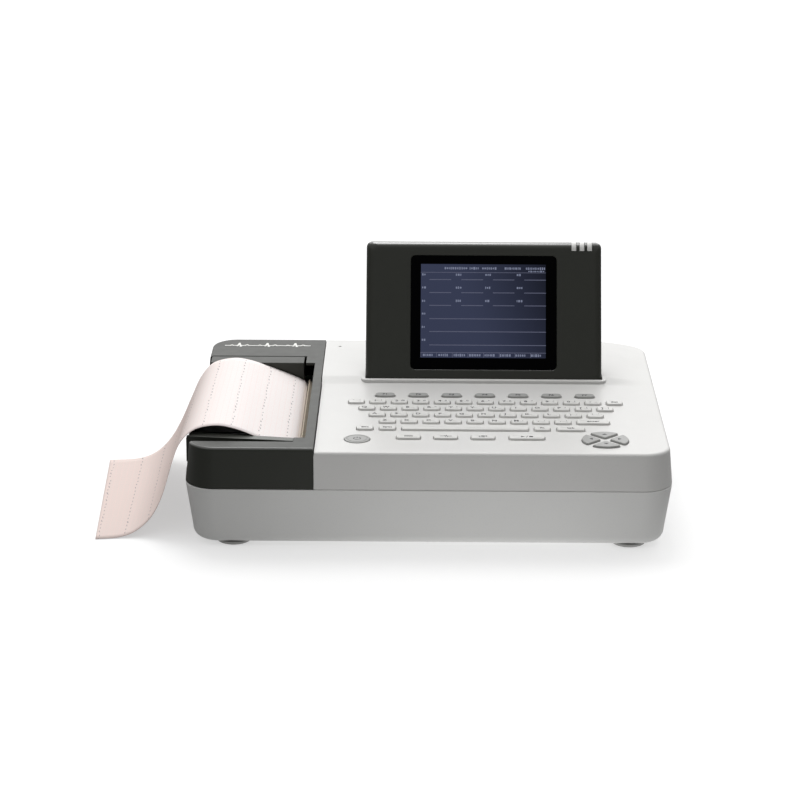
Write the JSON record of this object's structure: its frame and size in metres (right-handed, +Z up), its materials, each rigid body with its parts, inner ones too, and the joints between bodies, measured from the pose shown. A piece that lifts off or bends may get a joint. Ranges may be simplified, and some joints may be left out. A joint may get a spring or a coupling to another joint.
{
  "type": "electrocardiograph",
  "caption": "Tabletop electrocardiograph with a keyboard deck, a tilting display that folds flat, and a strip-chart recorder with a sliding door and paper hanging out.",
  "frame": {"origin": "on the table, under the middle of the whole part with its hanging chart", "axes": "+X to the operator's right along the front, +Y from the keyboard to the back, +Z up"},
  "size_m": [0.5138, 0.3334, 0.2074],
  "materials": {
    "casing_white": "satin, fine texture",
    "casing_grey": "satin, fine texture",
    "dark_green_grey": "satin, fine texture",
    "foot_rubber": "matt",
    "chart_paper": "coated, with a printed grid",
    "roll_paper": "coated",
    "spindle_plastic": "plain",
    "tub_plastic": "plain",
    "window_plastic": "glossy",
    "lcd_black": "glossy",
    "lamp_clear": "frosted light guide",
    "shaft_steel": "ground",
    "sheet_steel": "plated",
    "platen_rubber": "ground smooth",
    "gear_plastic": "moulded",
    "head_ceramic": "glazed print line",
    "board_green": "solder mask",
    "battery_blue": "shrink sleeve",
    "supply_grey": "enclosed supply",
    "inlet_black": "plain",
    "earth_brass": "plated",
    "key_grey": "satin",
    "key_white": "satin"
  },
  "bodies": {
    "housing": {"upper_casing": "casing_white", "lower_casing": "casing_grey", "printer_cap": "dark_green_grey", "foot_front_left": "foot_rubber", "foot_front_right": "foot_rubber", "foot_rear_left": "foot_rubber", "foot_rear_right": "foot_rubber", "battery_pack": "battery_blue", "battery_door": "casing_grey", "power_supply": "supply_grey", "main_board": "board_green", "keypad_board": "board_green", "mains_inlet": "inlet_black", "earth_terminal": "earth_brass", "patient_connector": "sheet_steel", "usb_port": "sheet_steel", "lan_port": "sheet_steel", "speaker": "tub_plastic", "paper_tub": "tub_plastic", "thermal_head": "head_ceramic", "head_bracket": "sheet_steel", "head_spring": "shaft_steel", "stepper_motor": "sheet_steel", "drive_plate": "sheet_steel", "idler_shaft": "shaft_steel", "tear_bar": "sheet_steel", "hinge_pin_left": "shaft_steel", "hinge_pin_right": "shaft_steel"},
    "door": {"printer_door": "dark_green_grey", "chart_paper": "chart_paper"},
    "platen": {"platen_shaft": "shaft_steel", "platen_rubber": "platen_rubber", "platen_gear": "gear_plastic"},
    "roll": {"roll_spindle": "spindle_plastic", "paper_roll": "roll_paper"},
    "idler": {"idler_gear": "gear_plastic"},
    "pinion": {"motor_pinion": "shaft_steel"},
    "display": {"display_bezel": "dark_green_grey", "display_rear_cover": "dark_green_grey", "display_window": "window_plastic", "lcd_module": "lcd_black", "indicator_lights": "lamp_clear"},
    "body_power_key": {"power_key": "key_grey"},
    "body_function_keys": {"function_keys": "key_grey"},
    "body_number_keys": {"number_keys": "key_white"},
    "body_letter_keys_top": {"letter_keys_top": "key_white"},
    "body_letter_keys_middle": {"letter_keys_middle": "key_white"},
    "body_letter_keys_bottom": {"letter_keys_bottom": "key_white"},
    "body_escape_keys": {"escape_keys": "key_grey"},
    "body_space_bar": {"space_bar": "key_white"},
    "body_edit_keys": {"edit_keys": "key_white"},
    "body_mode_key": {"mode_key": "key_white"},
    "body_lead_key": {"lead_key": "key_white"},
    "body_copy_key": {"copy_key": "key_white"},
    "body_start_key": {"start_key": "key_white"},
    "body_arrow_up": {"arrow_up": "key_grey"},
    "body_arrow_down": {"arrow_down": "key_grey"},
    "body_arrow_left": {"arrow_left": "key_grey"},
    "body_arrow_right": {"arrow_right": "key_grey"}
  },
  "joints": [
    {"name": "door_slide", "type": "slide", "parent": "housing", "child": "door", "axis": [-1, 0, 0], "range_m": [0, 0.07]},
    {"name": "platen_spin", "type": "hinge", "parent": "door", "child": "platen", "pos_m": [-0.07615, 0, 0.0625], "axis": [0, 1, 0], "continuous": true},
    {"name": "roll_spin", "type": "hinge", "parent": "housing", "child": "roll", "pos_m": [-0.11785, 0, 0.034], "axis": [0, 1, 0], "continuous": true},
    {"name": "idler_spin", "type": "hinge", "parent": "housing", "child": "idler", "pos_m": [-0.06495, 0, 0.0625], "axis": [0, 1, 0], "continuous": true},
    {"name": "pinion_spin", "type": "hinge", "parent": "housing", "child": "pinion", "pos_m": [-0.06495, 0, 0.0529], "axis": [0, 1, 0], "continuous": true},
    {"name": "display_tilt", "type": "hinge", "parent": "housing", "child": "display", "pos_m": [0.04515, 0.0417, 0.0883], "axis": [-1, 0, 0], "range_deg": [-25, 65]},
    {"name": "power_key_press", "type": "slide", "parent": "housing", "child": "body_power_key", "axis": [0, 0, -1], "range_m": [0, 0.001], "stiffness_N_per_m": 600, "springref_m": -0.001},
    {"name": "function_keys_press", "type": "slide", "parent": "housing", "child": "body_function_keys", "axis": [0, 0, -1], "range_m": [0, 0.001], "stiffness_N_per_m": 600, "springref_m": -0.001},
    {"name": "number_keys_press", "type": "slide", "parent": "housing", "child": "body_number_keys", "axis": [0, 0, -1], "range_m": [0, 0.001], "stiffness_N_per_m": 600, "springref_m": -0.001},
    {"name": "letter_keys_top_press", "type": "slide", "parent": "housing", "child": "body_letter_keys_top", "axis": [0, 0, -1], "range_m": [0, 0.001], "stiffness_N_per_m": 600, "springref_m": -0.001},
    {"name": "letter_keys_middle_press", "type": "slide", "parent": "housing", "child": "body_letter_keys_middle", "axis": [0, 0, -1], "range_m": [0, 0.001], "stiffness_N_per_m": 600, "springref_m": -0.001},
    {"name": "letter_keys_bottom_press", "type": "slide", "parent": "housing", "child": "body_letter_keys_bottom", "axis": [0, 0, -1], "range_m": [0, 0.001], "stiffness_N_per_m": 600, "springref_m": -0.001},
    {"name": "escape_keys_press", "type": "slide", "parent": "housing", "child": "body_escape_keys", "axis": [0, 0, -1], "range_m": [0, 0.001], "stiffness_N_per_m": 600, "springref_m": -0.001},
    {"name": "space_bar_press", "type": "slide", "parent": "housing", "child": "body_space_bar", "axis": [0, 0, -1], "range_m": [0, 0.001], "stiffness_N_per_m": 600, "springref_m": -0.001},
    {"name": "edit_keys_press", "type": "slide", "parent": "housing", "child": "body_edit_keys", "axis": [0, 0, -1], "range_m": [0, 0.001], "stiffness_N_per_m": 600, "springref_m": -0.001},
    {"name": "mode_key_press", "type": "slide", "parent": "housing", "child": "body_mode_key", "axis": [0, 0, -1], "range_m": [0, 0.001], "stiffness_N_per_m": 600, "springref_m": -0.001},
    {"name": "lead_key_press", "type": "slide", "parent": "housing", "child": "body_lead_key", "axis": [0, 0, -1], "range_m": [0, 0.001], "stiffness_N_per_m": 600, "springref_m": -0.001},
    {"name": "copy_key_press", "type": "slide", "parent": "housing", "child": "body_copy_key", "axis": [0, 0, -1], "range_m": [0, 0.001], "stiffness_N_per_m": 600, "springref_m": -0.001},
    {"name": "start_key_press", "type": "slide", "parent": "housing", "child": "body_start_key", "axis": [0, 0, -1], "range_m": [0, 0.001], "stiffness_N_per_m": 600, "springref_m": -0.001},
    {"name": "arrow_up_press", "type": "slide", "parent": "housing", "child": "body_arrow_up", "axis": [0, 0, -1], "range_m": [0, 0.001], "stiffness_N_per_m": 600, "springref_m": -0.001},
    {"name": "arrow_down_press", "type": "slide", "parent": "housing", "child": "body_arrow_down", "axis": [0, 0, -1], "range_m": [0, 0.001], "stiffness_N_per_m": 600, "springref_m": -0.001},
    {"name": "arrow_left_press", "type": "slide", "parent": "housing", "child": "body_arrow_left", "axis": [0, 0, -1], "range_m": [0, 0.001], "stiffness_N_per_m": 600, "springref_m": -0.001},
    {"name": "arrow_right_press", "type": "slide", "parent": "housing", "child": "body_arrow_right", "axis": [0, 0, -1], "range_m": [0, 0.001], "stiffness_N_per_m": 600, "springref_m": -0.001}
  ],
  "couplings": [
    {"joint": "idler_spin", "follows": "platen_spin", "ratio": -1.3333},
    {"joint": "pinion_spin", "follows": "platen_spin", "ratio": 1.3333}
  ]
}
